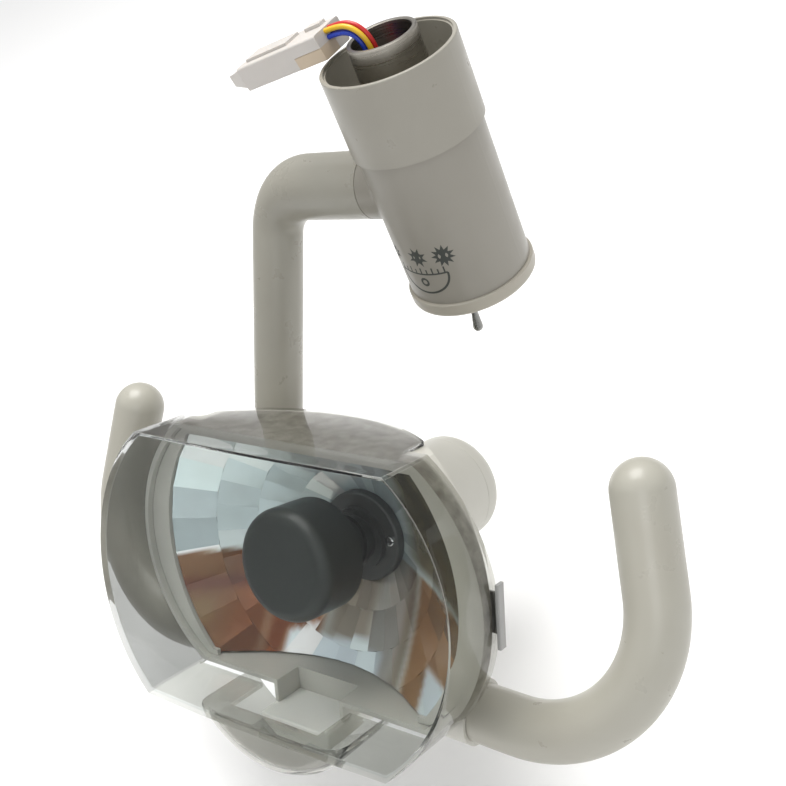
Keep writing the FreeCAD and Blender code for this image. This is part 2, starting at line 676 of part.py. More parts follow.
FLOOR = SHIELD_BOTTOM + SHELL_INSET
REST_TOP = SHIELD_BOTTOM - 6.6
REST_BOTTOM = SHIELD_BOTTOM - 14.5
REST_HALF = 20.5
REST_FRONT = -17.0
REST_BACK = 28.0
REST_SCREWS = ((-9.0, 18.0), (9.0, 18.0))
REST_SCREW_SEAT = REST_BOTTOM + 3.0
RECESS_BACK = 9.0             # the floor is stepped down to the rest block as far as here


def floor_recess():
    """Walls that step the housing's floor down to the rest block."""
    outer = block(-REST_HALF, REST_HALF, SHELL_FRONT, RECESS_BACK + 2, REST_TOP, FLOOR + 1)
    neck = block(-15, 15, RECESS_BACK + 1, REST_BACK, REST_TOP, FLOOR + 1)
    return fuse(outer, neck).cut(recess_hollow())


def recess_hollow():
    half, inside = REST_HALF - 2, FLOOR + SHELL_WALL
    return block(-half, half, SHELL_FRONT - 1, RECESS_BACK, REST_TOP - 1, inside + 0.5)


def rear_housing():
    outer = barrel(SHELL_INSET, SHELL_FRONT, 60).common(dish(DISH_R))
    inner = barrel(SHELL_INSET + SHELL_WALL, SHELL_FRONT - 1, 60).common(dish(DISH_R - SHELL_WALL))
    shell = outer.cut(inner)
    sockets = [handle_socket(side, SOCKET_R, -24, 1) for side in (-1, 1)]
    cavity = barrel(SHELL_INSET + SHELL_WALL, SHELL_FRONT - 1, 60).common(dish(DISH_R - SHELL_WALL - 9))
    shell = fuse(shell, *sockets).cut(cavity)
    for side in (-1, 1):
        shell = shell.cut(handle_socket(side, HANDLE_SPIGOT_R + 0.1, -10, 2))
        shell = shell.cut(handle_socket(side, HANDLE_SCREW_R + 0.1, -30, 2))
    shell = shell.cut(on_y(7.0, 30, 60, 5.0))
    for x, z in BASE_SCREWS:
        shell = shell.cut(on_y(1.5, 30, 60, x, z))
    return head(fuse(shell.cut(recess_hollow()), floor_recess()))


def shield_rest():
    """White block under the housing that the shield's pan closes around."""
    body = block(-REST_HALF, REST_HALF, REST_FRONT, REST_BACK, REST_BOTTOM, REST_TOP)
    body = fillet(body, 1.0, lambda b: b.YLength > 40 or b.YMax < REST_FRONT + 0.1)
    for x, y in REST_SCREWS:
        body = body.cut(cyl(1.6, V(x, y, REST_BOTTOM - 1), V(x, y, REST_TOP + 1)))
        body = body.cut(cyl(3.1, V(x, y, REST_BOTTOM - 1), V(x, y, REST_SCREW_SEAT)))
    return head(body)


def rest_screws():
    screws = []
    for x, y in REST_SCREWS:
        head_part = cyl(3.0, V(x, y, REST_SCREW_SEAT - 2.5), V(x, y, REST_SCREW_SEAT))
        shank = cyl(1.5, V(x, y, REST_SCREW_SEAT), V(x, y, REST_TOP))
        screws.append(fuse(head_part, shank))
    return head(Part.makeCompound(screws))


# ---------------------------------------------------------------- head: optics
MIRROR_HOLE_R = 21.0
MIRROR_BACK_Y = 46.0
MIRROR_MIDDLE = (57.0, 22.0)
MIRROR_RIM_Y = -1.0
MIRROR_TOP, MIRROR_FOOT = 58.5, -55.0
BEZEL_INSET = SHELL_INSET + SHELL_WALL + 0.3
FLOOR_HALF = 60.0             # the frame is open along the housing's floor


def bowl(shift):
    """Solid of revolution between the mirror's curve and its rim plane."""
    hole = V(MIRROR_HOLE_R, 0, MIRROR_BACK_Y + shift)
    middle = V(MIRROR_MIDDLE[0] + shift * 0.7, 0, MIRROR_MIDDLE[1] + shift * 0.7)
    rim = V(MIRROR_R + shift, 0, MIRROR_RIM_Y)
    profile = Part.Wire([
        Part.LineSegment(V(0, 0, MIRROR_RIM_Y), V(0, 0, hole.z)).toShape(),
        Part.LineSegment(V(0, 0, hole.z), hole).toShape(),
        Part.Arc(hole, middle, rim).toShape(),
        Part.LineSegment(rim, V(0, 0, MIRROR_RIM_Y)).toShape(),
    ])
    solid = Part.Face(profile).revolve(ORIGIN, Z, 360)
    return moved(turned(solid, -90, X), V(0, 0, AXIS_Z))


def mirror_window(inset, y0, y1):
    return block(-MIRROR_R - 5, MIRROR_R + 5, y0, y1, MIRROR_FOOT + inset, MIRROR_TOP - inset)


def reflector():
    shell = bowl(MIRROR_WALL).common(mirror_window(0, -10, 60)).cut(bowl(0))
    return head(shell.cut(on_y(MIRROR_HOLE_R, 30, 60)))


def reflector_bezel():
    """White frame that closes the space between the mirror's rim and the housing."""
    plate = barrel(BEZEL_INSET, MIRROR_RIM_Y - 2, MIRROR_RIM_Y)
    window = on_y(MIRROR_R, -10, 10).common(mirror_window(2.0, -10, 10))
    floor_level = SHIELD_BOTTOM + BEZEL_INSET
    window = fuse(window, block(-FLOOR_HALF, FLOOR_HALF, -10, 10, floor_level - 1, MIRROR_FOOT + 5))
    return head(plate.cut(window))


BASE_FRONT = 40.0
BASE_SCREWS = [
    (18.6 * math.cos(math.radians(a)), AXIS_Z + 18.6 * math.sin(math.radians(a)))
    for a in (5, 185)
]


def lamp_base():
    """Dark plate over the mirror's hole, seated on the inside of the housing."""
    plate = fillet(on_y(22.3, BASE_FRONT, 44.9), 1.2, lambda b: b.YMax < BASE_FRONT + 0.1)
    seat = on_y(15.2, SEAT_FRONT, 42)
    spigot = on_y(MIRROR_HOLE_R - 0.2, 44, 52).common(dish(DISH_R - SHELL_WALL))
    body = fuse(plate, seat, spigot).cut(aimed(on_y(SOCKET_RADIUS, 20, 48)))
    body = body.cut(on_y(SOCKET_RADIUS + 1, 46, 52))
    for x, z in BASE_SCREWS:
        body = body.cut(on_y(1.5, 30, 60, x, z))
    return head(body)


def lamp_base_screws():
    screws = []
    for x, z in BASE_SCREWS:
        front = BASE_FRONT - 1.8
        round_head = fillet(on_y(2.4, front, BASE_FRONT, x, z), 0.7, lambda b: b.YMax < front + 0.1)
        slot = block(x - 3, x + 3, front - 1, front + 0.7, z - 0.35, z + 0.35)
        screws.append(fuse(round_head, on_y(1.5, BASE_FRONT, 51, x, z)).cut(slot))
    return head(Part.makeCompound(screws))


SEAT_FRONT = 37.0
SOCKET_RADIUS = 9.4
STEM_ORIGIN = V(0, 45, AXIS_Z)


def aimed(shape):
    """Tilts the lamp stem up towards the front."""
    return turned(shape, -LAMP_TILT, X, STEM_ORIGIN)


def lamp_stem():
    """Ringed black sleeve around the bulb, with windows towards the mirror."""
    stem = on_y(11.5, -6, 42)
    for y in (16, 22.5, 29):
        stem = fuse(stem, on_y(13.2, y, y + 3.4))
    stem = stem.cut(on_y(SOCKET_RADIUS, -8, 50))
    for angle in (30, 150, 270):
        window = block(4, 16, -4, 4, -4, 4)
        window = moved(turned(window, angle, Y), V(0, 8, AXIS_Z))
        stem = stem.cut(window)
    return head(aimed(stem).cut(block(-30, 30, SEAT_FRONT, 70, -40, 40)))


def glare_cap():
    """Black cap that keeps the bulb's direct light off the patient's eyes."""
    cap = on_y(GLARE_CAP_R, -16, 9.5)
    cap = fillet(cap, 6.0, lambda b: b.YMax < -15)
    cap = cap.cut(on_y(GLARE_CAP_R - 2.5, -8, 10))
    rim = on_y(14.0, -9, -3)
    return head(aimed(fuse(cap, rim).cut(on_y(11.5, -6, 10))))


def lamp_socket():
    """Ceramic bulb holder with two contact bores."""
    body = on_y(SOCKET_RADIUS, 30, 47)
    for x in (-3.2, 3.2):
        body = body.cut(on_y(0.9, 28, 40, x))
    return head(aimed(body))


def halogen_bulb():
    glass = on_y(5.2, 4, 24)
    glass = fillet(glass, 4.0, lambda b: b.YMax < 4.1)
    pinch = block(-4.5, 4.5, 23, 29.8, AXIS_Z - 1.6, AXIS_Z + 1.6)
    pins = [on_y(0.6, 29, 37, x) for x in (-3.2, 3.2)]
    return head(aimed(fuse(glass, pinch, *pins)))


# ---------------------------------------------------------------- head: clear shield
PAN_R = 52.0
PAN_FRONT = -37.5
PAN_BACK = 2.0
PAN_BOTTOM = SHIELD_BOTTOM - 23.0
CUTOUT_HALF = 26.0
SHELF_BACK = -8.0
FRONT_LIP = 9.0
VISOR_HALF = 58.5             # the top panel reaches back over the housing between these


def front_face(inset):
    """Everything behind the shield's leaning, slightly bowed front."""
    rise = SHIELD_TOP - SHIELD_BOTTOM
    lean = math.degrees(math.atan((FRONT_TOP_Y - FRONT_BOTTOM_Y) / rise))
    chord = SHIELD_HALF_MIDDLE
    bow = (chord * chord + FRONT_BULGE * FRONT_BULGE) / (2 * FRONT_BULGE)
    middle_y = (FRONT_TOP_Y + FRONT_BOTTOM_Y) / 2 - 1.4
    drum = cyl(bow, V(0, bow + inset, -120), V(0, bow + inset, 120))
    half = block(-130, 130, inset - 1, 130, -120, 120)
    return moved(turned(drum.common(half), -lean, X), V(0, middle_y, AXIS_Z))


def pan(inset):
    """Rounded pan below the shield."""
    centre_z = PAN_BOTTOM + PAN_R
    round_part = cyl(PAN_R - inset, V(0, PAN_FRONT + inset, centre_z), V(0, PAN_BACK, centre_z))
    round_part = fillet(round_part, 10.0 - inset, lambda b: b.YMax < PAN_FRONT + inset + 0.1)
    return round_part.common(block(-60, 60, -60, 20, PAN_BOTTOM - 5, SHIELD_BOTTOM + 0.5))


def clear_shield():
    outer = barrel(0, -60, 45).common(front_face(0))
    inner = barrel(SHIELD_WALL, -60, 60).common(front_face(SHIELD_WALL))
    shell = outer.cut(inner)
    visor = block(-VISOR_HALF, VISOR_HALF, -60, 60, SHIELD_TOP - SHIELD_WALL, SHIELD_TOP + 1)
    top_part = shell.common(dish(DISH_R + 0.6)).common(visor)
    sides = shell.common(block(-120, 120, -60, RIM_Y, SHIELD_BOTTOM - 1, SHIELD_TOP + 1))
    shell = fuse(sides, top_part)
    low, high = SHIELD_BOTTOM - 1, SHIELD_BOTTOM + SHIELD_WALL
    shell = shell.cut(block(-120, 120, SHELF_BACK, 60, low, high))
    shell = shell.cut(block(-CUTOUT_HALF, CUTOUT_HALF, FRONT_BOTTOM_Y + FRONT_LIP, 60, low, high))
    cup = pan(0).cut(pan(SHIELD_WALL)).cut(block(-60, 60, -60, 20, SHIELD_BOTTOM, SHIELD_BOTTOM + 5))
    return head(fuse(shell, cup))


CLIP_FRONT, CLIP_BACK = -1.0, 3.4
CLIP_HALF = 14.0
CLIP_WALL = 1.6


def side_clip(side):
    """Spring clip on the housing's side that keeps the shield from rattling."""
    inner = SHIELD_HALF_MIDDLE + 0.35
    outer = inner + CLIP_WALL
    blade = block(inner, outer, CLIP_FRONT, CLIP_BACK, AXIS_Z - CLIP_HALF, AXIS_Z + CLIP_HALF)
    foot = block(inner - 14, inner + 1, RIM_Y + GAP, CLIP_BACK, AXIS_Z - 9, AXIS_Z + 9)
    clip = fuse(blade, foot).cut(barrel(SHELL_INSET, SHELL_FRONT, 60).common(dish(DISH_R)))
    clip = fillet(clip, 0.5, lambda b: b.ZLength > 2 * CLIP_HALF - 1 and b.XMin > outer - 0.1)
    if side < 0:
        clip = clip.mirror(ORIGIN, X)
    return head(clip)


# ---------------------------------------------------------------- head: handles
def handle_points():
    """Start, outer corner and top of the right handle's centre line, before it leans back."""
    inward = math.radians(HANDLE_INWARD)
    turn = math.radians(90 + HANDLE_SLOPE + HANDLE_INWARD)
    trim = HANDLE_BEND * math.tan(turn / 2)
    corner = HANDLE_FOOT + handle_way() * (HANDLE_RUN + trim)
    rise = HANDLE_TOP_Z - corner.z
    top = corner + V(-math.tan(inward) * rise, 0, rise)
    return HANDLE_FOOT, corner, top


def handle_tube(side):
    start, corner, top = handle_points()
    wire = path([start, corner, top], [HANDLE_BEND])
    tube = rod(wire, HANDLE_R).cut(rod(wire, HANDLE_R - HANDLE_WALL))
    way = handle_way()
    collar = cyl(HANDLE_R - 0.5, start + way * 1.3, start + way * HANDLE_SCREW_SEAT)
    spigot = cyl(HANDLE_SPIGOT_R, start - way * 8, start + way * 10)
    bore = cyl(HANDLE_SCREW_R + 0.1, start - way * 12, start + way * (HANDLE_SCREW_SEAT + 1))
    tube = tube.cut(cyl(20, start - way * 5, start + way * 1.3))
    return head(beside(fuse(tube, collar, spigot).cut(bore), side))


def handle_end(side):
    """Rounded plastic end cap."""
    start, corner, top = handle_points()
    up = (top - corner).normalize()
    ball = Part.makeSphere(HANDLE_R, top)
    half = cyl(HANDLE_R + 2, top, top + up * 20)
    spigot = cyl(HANDLE_R - HANDLE_WALL - 0.05, top - up * 8, top + up)
    return head(beside(fuse(ball.common(half), spigot), side))


def handle_screws():
    way = handle_way()
    seat = HANDLE_FOOT + way * HANDLE_SCREW_SEAT
    screw = fuse(cyl(HANDLE_SCREW_R, HANDLE_FOOT - way * 22, seat), cyl(5.0, seat, seat + way * 5))
    return head(Part.makeCompound([beside(screw, side) for side in (-1, 1)]))


# ---------------------------------------------------------------- build
def nodes():
    """Every piece's name and solid, in the part frame."""
    pieces = {
        "steel_tube": steel_tube(),
        "swivel_stop_pin": swivel_stop_pin(),
        "swivel_washer": swivel_washer(),
        "swivel_circlip": swivel_circlip(),
        "cable_grommet": cable_grommet(),
        "connector_plug": connector_plug(),
        "connector_housing": connector_housing(),
        "connector_boot": connector_boot(),
        "joint_housing": joint_housing(),
        "swivel_bush": swivel_bush(),
        "joint_collar": joint_collar(),
        "bottom_cap": bottom_cap(),
        "cap_screws": cap_screws(),
        "dimmer_board": dimmer_board(),
        "switch_body": switch_body(),
        "switch_nut": switch_nut(),
        "toggle_lever": toggle_lever(),
        "tilt_bush": tilt_bush(),
        "tilt_shaft": tilt_shaft(),
        "tilt_washers": tilt_washers(),
        "tilt_spring_washer": tilt_spring_washer(),
        "tilt_nut": tilt_nut(),
        "tilt_stop_pin": tilt_stop_pin(),
        "arm_tube": arm_tube(),
        "arm_cable": arm_cable(),
        "nod_shaft": nod_shaft(),
        "nod_bush": nod_bush(),
        "nod_washers": nod_washers(),
        "nod_spring_washer": nod_spring_washer(),
        "nod_nut": nod_nut(),
        "rear_hub": rear_hub(),
        "hub_cap": hub_cap(),
        "terminal_block": terminal_block(),
        "lamp_leads": lamp_leads(),
        "rear_housing": rear_housing(),
        "shield_rest": shield_rest(),
        "rest_screws": rest_screws(),
        "reflector": reflector(),
        "reflector_bezel": reflector_bezel(),
        "lamp_base": lamp_base(),
        "lamp_base_screws": lamp_base_screws(),
        "lamp_stem": lamp_stem(),
        "glare_cap": glare_cap(),
        "lamp_socket": lamp_socket(),
        "halogen_bulb": halogen_bulb(),
        "clear_shield": clear_shield(),
        "clip_left": side_clip(-1),
        "clip_right": side_clip(1),
        "handle_left": handle_tube(-1),
        "handle_right": handle_tube(1),
        "handle_end_left": handle_end(-1),
        "handle_end_right": handle_end(1),
        "handle_screws": handle_screws(),
    }
    for name, points in LEADS.items():
        radii = free_radii(points)
        pieces[name] = rod(path(points, radii), LEAD_R)
        print(name, "bend radii", [round(r, 1) for r in radii])
    return pieces


def main():
    os.makedirs("parts", exist_ok=True)
    for name, shape in nodes().items():
        solids = shape.Solids
        print(f"{name:20s} solids {len(solids)}  volume {shape.Volume:10.1f}  valid {shape.isValid()}")
        keep = solids[0] if len(solids) == 1 else Part.makeCompound(solids)
        keep.exportStep(f"parts/{name}.step")


main()
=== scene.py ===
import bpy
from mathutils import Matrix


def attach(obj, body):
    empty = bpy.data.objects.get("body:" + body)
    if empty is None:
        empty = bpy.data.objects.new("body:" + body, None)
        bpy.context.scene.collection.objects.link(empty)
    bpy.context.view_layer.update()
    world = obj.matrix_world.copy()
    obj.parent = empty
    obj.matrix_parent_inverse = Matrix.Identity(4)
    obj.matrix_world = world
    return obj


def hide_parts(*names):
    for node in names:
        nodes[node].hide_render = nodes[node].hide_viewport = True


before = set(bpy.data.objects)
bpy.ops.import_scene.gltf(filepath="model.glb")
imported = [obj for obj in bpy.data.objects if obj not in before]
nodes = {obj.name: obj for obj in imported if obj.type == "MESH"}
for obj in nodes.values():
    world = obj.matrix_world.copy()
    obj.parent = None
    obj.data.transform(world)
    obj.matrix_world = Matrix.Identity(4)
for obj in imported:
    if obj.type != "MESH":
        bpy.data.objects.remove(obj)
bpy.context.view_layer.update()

import math
import random

import bmesh
import bpy
from mathutils import Matrix, Vector

random.seed(7)
scene = bpy.context.scene

# Frames: the arm hangs forward about the tilt axis, and the head hangs on the arm.
ARM = Matrix.Translation((0, 0, -0.069)) @ Matrix.Rotation(math.radians(-27.0), 4, "X")
HEAD = ARM @ Matrix.Translation((-0.0449, -0.0620, -0.1645)) @ Matrix.Rotation(math.radians(1.5), 4, "Y")
HEAD_MM = HEAD @ Matrix.Scale(0.001, 4)
PART_MM = Matrix.Scale(0.001, 4)
AXIS_Z = 2.0


# ------------------------------------------------------------------ materials
def link(tree, a, b):
    tree.links.new(a, b)


def new_material(name):
    mat = bpy.data.materials.new(name)
    mat.use_nodes = True
    tree = mat.node_tree
    return mat, tree, tree.nodes["Principled BSDF"]


def coordinates(tree, scale=(1, 1, 1)):
    coord = tree.nodes.new("ShaderNodeTexCoord")
    mapping = tree.nodes.new("ShaderNodeMapping")
    mapping.inputs["Scale"].default_value = scale
    link(tree, coord.outputs["Object"], mapping.inputs["Vector"])
    return mapping.outputs["Vector"]


def noise(tree, vector, scale, detail=4.0, rough=0.55):
    node = tree.nodes.new("ShaderNodeTexNoise")
    node.inputs["Scale"].default_value = scale
    node.inputs["Detail"].default_value = detail
    node.inputs["Roughness"].default_value = rough
    link(tree, vector, node.inputs["Vector"])
    return node.outputs["Fac"]


def ramp(tree, value, stops):
    node = tree.nodes.new("ShaderNodeValToRGB")
    elements = node.color_ramp.elements
    while len(elements) < len(stops):
        elements.new(0.5)
    for element, (place, colour) in zip(elements, stops):
        element.position = place
        element.color = (*colour, 1) if len(colour) == 3 else colour
    link(tree, value, node.inputs["Fac"])
    return node.outputs["Color"]


def spread(tree, value, low, high):
    node = tree.nodes.new("ShaderNodeMapRange")
    node.inputs["From Min"].default_value = 0.3
    node.inputs["From Max"].default_value = 0.7
    node.inputs["To Min"].default_value = low
    node.inputs["To Max"].default_value = high
    link(tree, value, node.inputs["Value"])
    return node.outputs["Result"]


def mixed(tree, factor, first, second, kind="MIX"):
    node = tree.nodes.new("ShaderNodeMix")
    node.data_type = "RGBA"
    node.blend_type = kind
    for socket, value in ((node.inputs[0], factor), (node.inputs[6], first), (node.inputs[7], second)):
        if isinstance(value, bpy.types.NodeSocket):
            link(tree, value, socket)
        else:
            socket.default_value = value
    return node.outputs[2]


def bump(tree, shader, height, strength, distance):
    node = tree.nodes.new("ShaderNodeBump")
    node.inputs["Strength"].default_value = strength
    node.inputs["Distance"].default_value = distance
    link(tree, height, node.inputs["Height"])
    link(tree, node.outputs["Normal"], shader.inputs["Normal"])


def plastic(name, colour, shade, rough=(0.3, 0.45), grain=900.0, depth=0.00003, *,
            coat=0.0, seam_shade=None, spec=0.5):
    """Moulded or painted surface: two close tones, smudged gloss, fine orange peel, painted shade in the
    seams.
    """
    mat, tree, shader = new_material(name)
    vector = coordinates(tree)
    broad = noise(tree, vector, 22.0, 3.0)
    base = mixed(tree, spread(tree, broad, 0.0, 1.0), (*colour, 1), (*shade, 1))
    # Painted shade: where ambient occlusion finds a close surface, the seams are darkened towards the seam
    # colour, in patches.
    if seam_shade:
        occlusion = tree.nodes.new("ShaderNodeAmbientOcclusion")
        occlusion.inputs["Distance"].default_value = 0.006
        occlusion.samples = 4
        seam_shade_mask = ramp(tree, occlusion.outputs["AO"], [(0.15, (1, 1, 1)), (0.5, (0, 0, 0))])
        patches = ramp(tree, noise(tree, vector, 160.0), [(0.3, (0.3,) * 3), (0.7, (1,) * 3)])
        patchy_seam_shade = mixed(tree, 1.0, seam_shade_mask, patches, "MULTIPLY")
        base = mixed(tree, patchy_seam_shade, base, (*seam_shade, 1))
    link(tree, base, shader.inputs["Base Color"])
    smudge = noise(tree, vector, 75.0, 6.0)
    link(tree, spread(tree, smudge, *rough), shader.inputs["Roughness"])
    shader.inputs["Specular IOR Level"].default_value = spec
    shader.inputs["Coat Weight"].default_value = coat
    bump(tree, shader, noise(tree, vector, grain, 2.0), 0.35, depth)
    return mat


def metal(name, colour, shade, rough=(0.2, 0.4), stretch=(1, 1, 40), scale=700.0, depth=0.00002):
    """Turned or brushed metal, with tool marks along one direction and darker handling marks."""
    mat, tree, shader = new_material(name)
    vector = coordinates(tree, stretch)
    plain = coordinates(tree)
    marks = noise(tree, vector, scale / max(stretch), 5.0)
    stain = noise(tree, plain, 90.0, 4.0)
    base = mixed(tree, spread(tree, stain, 0.0, 1.0), (*colour, 1), (*shade, 1))
    link(tree, base, shader.inputs["Base Color"])
    link(tree, spread(tree, marks, *rough), shader.inputs["Roughness"])
    shader.inputs["Metallic"].default_value = 1.0
    bump(tree, shader, marks, 0.3, depth)
    return mat


def clear(name, colour, ior, rough, scale=400.0, depth=0.00001, painted_wall_shade=False):
    """Clear moulding with faint flow marks and scratches. With wall shade on, it reads a painted shade
    stored on each wall.
    """
    mat, tree, shader = new_material(name)
    vector = coordinates(tree)
    # Painted shade: each wall's stored tone greys the clear moulding, the left side darkest.
    if painted_wall_shade:
        wall = tree.nodes.new("ShaderNodeVertexColor")
        wall.layer_name = "wall"
        haze = ramp(tree, noise(tree, vector, 30.0, 3.0), [(0.3, (0.93, 0.93, 0.93)), (0.7, (1, 1, 1))])
        link(tree, mixed(tree, 1.0, wall.outputs["Color"], haze, "MULTIPLY"), shader.inputs["Base Color"])
        shader.inputs["Coat Weight"].default_value = 0.5
        shader.inputs["Coat Roughness"].default_value = 0.04
    else:
        shader.inputs["Base Color"].default_value = (*colour, 1)
    shader.inputs["Transmission Weight"].default_value = 1.0
    shader.inputs["IOR"].default_value = ior
    wipe = noise(tree, coordinates(tree, (1, 1, 9)), 60.0, 6.0)
    link(tree, spread(tree, wipe, *rough), shader.inputs["Roughness"])
    bump(tree, shader, noise(tree, vector, scale, 2.0), 0.15, depth)
    return mat


IVORY, IVORY_SHADE = (0.27, 0.255, 0.22), (0.255, 0.24, 0.205)
# Colour of the painted shade laid into the seams.
SEAM_SHADE_TONE = (0.17, 0.15, 0.12)
M = {
    "housing": plastic("ivory_coat", IVORY, IVORY_SHADE, (0.28, 0.42), 700, 0.00005),
    "collar": plastic("ivory_collar_coat", (0.3, 0.285, 0.245), (0.285, 0.27, 0.23), (0.26, 0.4),
                      700, 0.00005),
    "arm": plastic("arm_coat", (0.31, 0.3, 0.258), (0.295, 0.282, 0.24), (0.24, 0.38), 600, 0.00005),
    "shell": plastic("white_abs", (0.52, 0.51, 0.46), (0.49, 0.48, 0.43), (0.3, 0.45),
                     1100, 0.00003, seam_shade=SEAM_SHADE_TONE),
    "rest": plastic("white_rest_abs", (0.78, 0.77, 0.72), (0.74, 0.73, 0.68), (0.3, 0.45), 1100, 0.00003),
    "handle": plastic("handle_abs", (0.38, 0.37, 0.32), (0.36, 0.345, 0.295), (0.26, 0.42), 1100, 0.00003),
    "cap": plastic("bottom_cap_abs", (0.38, 0.355, 0.3), (0.355, 0.33, 0.275), (0.3, 0.45), 1100, 0.00003),
    "black": plastic("black_heatproof", (0.017, 0.02, 0.018), (0.022, 0.026, 0.023), (0.36, 0.46),
                     500, 0.00001, spec=0.4),
    "grey": plastic("dark_anodised", (0.035, 0.038, 0.036), (0.055, 0.06, 0.056), (0.3, 0.45),
                    1200, 0.00004, spec=0.6),
    "acetal": plastic("natural_acetal", (0.74, 0.72, 0.63), (0.68, 0.66, 0.57), (0.35, 0.5),
                      800, 0.00004, seam_shade=SEAM_SHADE_TONE),
    "rubber": plastic("rubber", (0.02, 0.02, 0.02), (0.035, 0.035, 0.035), (0.6, 0.8), 1500, 0.00006),
    "ceramic": plastic("steatite", (0.72, 0.7, 0.62), (0.64, 0.62, 0.54), (0.55, 0.75), 1500, 0.00006),
    "sheath": plastic("cable_sheath", (0.62, 0.62, 0.6), (0.56, 0.56, 0.53), (0.4, 0.6), 1200, 0.00004),
    "board": plastic("circuit_board", (0.03, 0.16, 0.07), (0.05, 0.22, 0.1), (0.3, 0.45), 1500, 0.00004),
    "phenolic": plastic("phenolic", (0.03, 0.03, 0.033), (0.05, 0.05, 0.052), (0.35, 0.5), 1200, 0.00004),
    "beige": plastic("beige_nylon", (0.56, 0.46, 0.34), (0.5, 0.4, 0.29), (0.35, 0.5),
                     900, 0.00005, seam_shade=(0.3, 0.22, 0.15)),
    "red": plastic("red_insulation", (0.55, 0.02, 0.02), (0.42, 0.015, 0.015), (0.25, 0.4), 1500, 0.00003),
    "yellow": plastic("yellow_insulation", (0.75, 0.48, 0.02), (0.62, 0.38, 0.02), (0.25, 0.4),
                      1500, 0.00003),
    "blue": plastic("blue_insulation", (0.02, 0.06, 0.5), (0.015, 0.04, 0.36), (0.25, 0.4), 1500, 0.00003),
    "dark_blue": plastic("dark_blue_insulation", (0.02, 0.035, 0.28), (0.015, 0.03, 0.2), (0.25, 0.4),
                         1500, 0.00003),
    "steel": metal("turned_steel", (0.42, 0.40, 0.36), (0.3, 0.28, 0.245), (0.22, 0.42), (1, 1, 30), 1600),
    "spring": metal("spring_steel", (0.56, 0.57, 0.59), (0.42, 0.43, 0.45), (0.2, 0.36), (1, 20, 1), 900),
    "clip": plastic("clip_grey", (0.3, 0.3, 0.29), (0.25, 0.25, 0.24), (0.25, 0.4), 1200, 0.00003, coat=0.4),
    "zinc": metal("zinc_plate", (0.6, 0.61, 0.63), (0.46, 0.47, 0.5), (0.3, 0.5), (1, 1, 1), 300),
    "chrome": metal("bright_chrome", (0.78, 0.78, 0.79), (0.6, 0.6, 0.61), (0.06, 0.16), (1, 1, 1),
                    200, 0.000005),
    "nickel": metal("worn_nickel", (0.3, 0.3, 0.29), (0.2, 0.2, 0.19), (0.2, 0.34), (1, 1, 1), 300, 0.00001),
    "bronze": metal("sintered_bronze", (0.5, 0.3, 0.13), (0.38, 0.22, 0.09), (0.35, 0.55), (1, 1, 1), 900),
    # The shield's walls take painted shade from their stored tones.
    "clear": clear("clear_polycarbonate", (1, 1, 1), 1.05, (0.0, 0.004), 40.0, 0.000002, painted_wall_shade=True),
    "quartz": clear("quartz_glass", (1, 1, 1), 1.46, (0.0, 0.02)),
}


def edge_highlight_material():
    """The moulding's rounded edges, painted pale as a highlight where the light gathers."""
    mat = plastic("painted_edge_highlight", (0.9, 0.89, 0.86), (0.78, 0.77, 0.74), (0.1, 0.2), 700, 0.000004, coat=0.6)
    shader = mat.node_tree.nodes["Principled BSDF"]
    shader.inputs["Transmission Weight"].default_value = 0.45
    shader.inputs["IOR"].default_value = 1.06
    return mat


def nylon_material():
    """Natural nylon: milky, slightly see-through."""
    mat = plastic("natural_nylon", (0.58, 0.55, 0.52), (0.52, 0.49, 0.455), (0.3, 0.45), 900, 0.00005)
    shader = mat.node_tree.nodes["Principled BSDF"]
    shader.inputs["Subsurface Weight"].default_value = 0.4
    shader.inputs["Subsurface Radius"].default_value = (0.004, 0.0035, 0.003)
    return mat


def mirror_material():
    """Vacuum-coated mirror with a faint, aged haze; the painted reflection stored on each facet gives its
    colour.
    """
    mat, tree, shader = new_material("faceted_mirror")
    vector = coordinates(tree)
    reflection_tone = tree.nodes.new("ShaderNodeVertexColor")
    # Each facet's colour is a painted reflection, read from the stored tones.
    reflection_tone.layer_name = "painted_reflection"
    cloud = ramp(tree, noise(tree, vector, 26.0, 3.0), [(0.3, (0.88, 0.86, 0.84)), (0.7, (1, 1, 1))])
    link(tree, mixed(tree, 1.0, reflection_tone.outputs["Color"], cloud, "MULTIPLY"), shader.inputs["Base Color"])
    shader.inputs["Metallic"].default_value = 0.4
    dust = noise(tree, vector, 140.0, 5.0)
    link(tree, spread(tree, dust, 0.16, 0.26), shader.inputs["Roughness"])
    bump(tree, shader, noise(tree, vector, 60.0, 1.0), 0.2, 0.0001)
    return mat


M["edge"] = edge_highlight_material()
M["ink"] = plastic("printed_ink", (0.02, 0.025, 0.02), (0.05, 0.055, 0.05), (0.45, 0.65), 1800, 0.00003)
M["nylon"] = nylon_material()
M["mirror"] = mirror_material()

